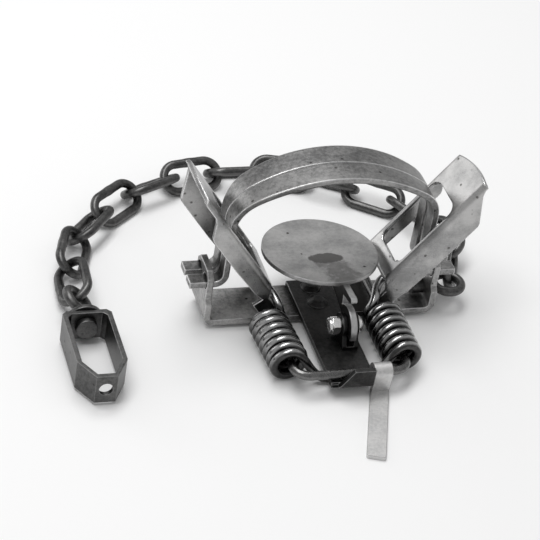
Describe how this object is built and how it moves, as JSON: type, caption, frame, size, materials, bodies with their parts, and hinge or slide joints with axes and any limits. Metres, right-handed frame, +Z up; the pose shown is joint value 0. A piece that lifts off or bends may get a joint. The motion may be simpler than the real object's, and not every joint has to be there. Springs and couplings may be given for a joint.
{
  "type": "foothold trap",
  "caption": "Sprung coil-spring foothold trap with closed upright jaws, raised levers, round pan, loose dog and a chain that ends in a strap swivel.",
  "frame": {"origin": "on the floor, at the middle in plan of the trap without its chain and swivel", "axes": "+X from the left ear to the right ear, +Y from the dog's side to the chain's side, +Z up"},
  "size_m": [0.2105, 0.2174, 0.0835],
  "materials": {
    "base_steel": "dull grey bare steel",
    "worn_steel": "grey bare steel with bright worn edges",
    "dark_steel": "dark bare steel",
    "chain_steel": "dark bare steel with worn tops",
    "bright_zinc": "bright zinc plating"
  },
  "bodies": {
    "frame": {"base_strip": "base_steel", "tongue_strip": "dark_steel", "frame_rivets": "base_steel", "spring_pin": "dark_steel", "left_spring": "dark_steel", "right_spring": "dark_steel", "pan_clevis": "dark_steel", "pan_bolt": "bright_zinc", "pan_nut": "bright_zinc", "chain_eye": "chain_steel"},
    "left_lever": {"left_lever": "worn_steel"},
    "right_lever": {"right_lever": "worn_steel"},
    "front_jaw": {"front_jaw": "worn_steel"},
    "rear_jaw": {"rear_jaw": "worn_steel"},
    "pan": {"pan_plate": "dark_steel", "pan_shank": "base_steel"},
    "dog": {"dog": "worn_steel"},
    "chain_link_01": {"chain_link_01": "chain_steel"},
    "chain_link_02": {"chain_link_02": "chain_steel"},
    "chain_link_03": {"chain_link_03": "chain_steel"},
    "chain_link_04": {"chain_link_04": "chain_steel"},
    "chain_link_05": {"chain_link_05": "chain_steel"},
    "chain_link_06": {"chain_link_06": "chain_steel"},
    "chain_link_07": {"chain_link_07": "chain_steel"},
    "chain_link_08": {"chain_link_08": "chain_steel"},
    "chain_link_09": {"chain_link_09": "chain_steel"},
    "chain_link_10": {"chain_link_10": "chain_steel"},
    "chain_link_11": {"chain_link_11": "chain_steel"},
    "chain_link_12": {"chain_link_12": "chain_steel"},
    "chain_link_13": {"chain_link_13": "chain_steel"},
    "swivel_eye": {"swivel_eye": "chain_steel"},
    "swivel_strap": {"swivel_strap": "chain_steel", "swivel_washer": "chain_steel"}
  },
  "joints": [
    {"name": "left_lever_press", "type": "hinge", "parent": "frame", "child": "left_lever", "pos_m": [-0.027, 0.0381, 0.0105], "axis": [0, -1, 0], "range_deg": [0, 34], "stiffness_Nm_per_rad": 3, "springref_deg": -20.05, "deforming": ["left_spring"]},
    {"name": "right_lever_press", "type": "hinge", "parent": "frame", "child": "right_lever", "pos_m": [0.027, 0.0381, 0.0105], "axis": [0, 1, 0], "range_deg": [0, 34], "stiffness_Nm_per_rad": 3, "springref_deg": -20.05, "deforming": ["right_spring"]},
    {"name": "front_jaw_swing", "type": "hinge", "parent": "frame", "child": "front_jaw", "pos_m": [0, 0.0331, 0.0235], "axis": [1, 0, 0], "range_deg": [0, 13]},
    {"name": "rear_jaw_swing", "type": "hinge", "parent": "frame", "child": "rear_jaw", "pos_m": [0, 0.0431, 0.0235], "axis": [-1, 0, 0], "range_deg": [0, 13]},
    {"name": "pan_tilt", "type": "hinge", "parent": "frame", "child": "pan", "pos_m": [0.0045, 0.0047, 0.016], "axis": [1, 0, 0], "range_deg": [-8, 14]},
    {"name": "dog_swing", "type": "hinge", "parent": "frame", "child": "dog", "pos_m": [0.0132, -0.0225, 0.0105], "axis": [-1, 0, 0], "range_deg": [0, 115]},
    {"name": "chain_link_01_swing", "type": "hinge", "parent": "frame", "child": "chain_link_01", "pos_m": [0.06987, 0.04426, 0.0098], "axis": [-0.9063, 0.4226, 0], "range_deg": [-4, 4]},
    {"name": "chain_link_02_swing", "type": "hinge", "parent": "chain_link_01", "child": "chain_link_02", "pos_m": [0.08006, 0.0661, 0.0098], "axis": [-0.31, 0.1445, 0.9397], "range_deg": [-8, 8]},
    {"name": "chain_link_03_swing", "type": "hinge", "parent": "chain_link_02", "child": "chain_link_03", "pos_m": [0.07658, 0.09013, 0.00631], "axis": [0.7671, 0.1492, 0.624], "range_deg": [-8, 8]},
    {"name": "chain_link_04_swing", "type": "hinge", "parent": "chain_link_03", "child": "chain_link_04", "pos_m": [0.06339, 0.11067, 0.00667], "axis": [0.673, 0.3886, -0.6293], "range_deg": [-8, 8]},
    {"name": "chain_link_05_swing", "type": "hinge", "parent": "chain_link_04", "child": "chain_link_05", "pos_m": [0.04277, 0.12369, 0.00667], "axis": [-0.4458, -0.6366, -0.6293], "range_deg": [-8, 8]},
    {"name": "chain_link_06_swing", "type": "hinge", "parent": "chain_link_05", "child": "chain_link_06", "pos_m": [0.02177, 0.13554, 0.00667], "axis": [-0.3886, -0.673, 0.6293], "range_deg": [-8, 8]},
    {"name": "chain_link_07_swing", "type": "hinge", "parent": "chain_link_06", "child": "chain_link_07", "pos_m": [-0.00178, 0.14111, 0.00667], "axis": [0.2011, 0.7507, 0.6293], "range_deg": [-8, 8]},
    {"name": "chain_link_08_swing", "type": "hinge", "parent": "chain_link_07", "child": "chain_link_08", "pos_m": [-0.02598, 0.1404, 0.00667], "axis": [0, 0.7771, -0.6293], "range_deg": [-8, 8]},
    {"name": "chain_link_09_swing", "type": "hinge", "parent": "chain_link_08", "child": "chain_link_09", "pos_m": [-0.04967, 0.13574, 0.00667], "axis": [0.135, -0.7653, -0.6293], "range_deg": [-8, 8]},
    {"name": "chain_link_10_swing", "type": "hinge", "parent": "chain_link_09", "child": "chain_link_10", "pos_m": [-0.0713, 0.12487, 0.00667], "axis": [0.3284, -0.7043, 0.6293], "range_deg": [-8, 8]},
    {"name": "chain_link_11_swing", "type": "hinge", "parent": "chain_link_10", "child": "chain_link_11", "pos_m": [-0.08937, 0.10877, 0.00667], "axis": [-0.4995, 0.5953, 0.6293], "range_deg": [-8, 8]},
    {"name": "chain_link_12_swing", "type": "hinge", "parent": "chain_link_11", "child": "chain_link_12", "pos_m": [-0.10452, 0.08997, 0.00667], "axis": [-0.5953, 0.4995, -0.6293], "range_deg": [-8, 8]},
    {"name": "chain_link_13_swing", "type": "hinge", "parent": "chain_link_12", "child": "chain_link_13", "pos_m": [-0.11194, 0.06685, 0.00667], "axis": [0.7303, -0.2658, -0.6293], "range_deg": [-8, 8]},
    {"name": "swivel_eye_swing", "type": "hinge", "parent": "chain_link_13", "child": "swivel_eye", "pos_m": [-0.11333, 0.04281, 0.00927], "axis": [0.7795, -0.0071, 0.6264], "range_deg": [-8, 8]},
    {"name": "swivel_turn", "type": "hinge", "parent": "swivel_eye", "child": "swivel_strap", "pos_m": [-0.11309, 0.02578, 0.009], "axis": [0, 1, 0], "continuous": true}
  ],
  "couplings": [
    {"joint": "right_lever_press", "follows": "left_lever_press", "ratio": 1},
    {"joint": "front_jaw_swing", "follows": "left_lever_press", "ratio": 0.38},
    {"joint": "rear_jaw_swing", "follows": "left_lever_press", "ratio": 0.38}
  ]
}
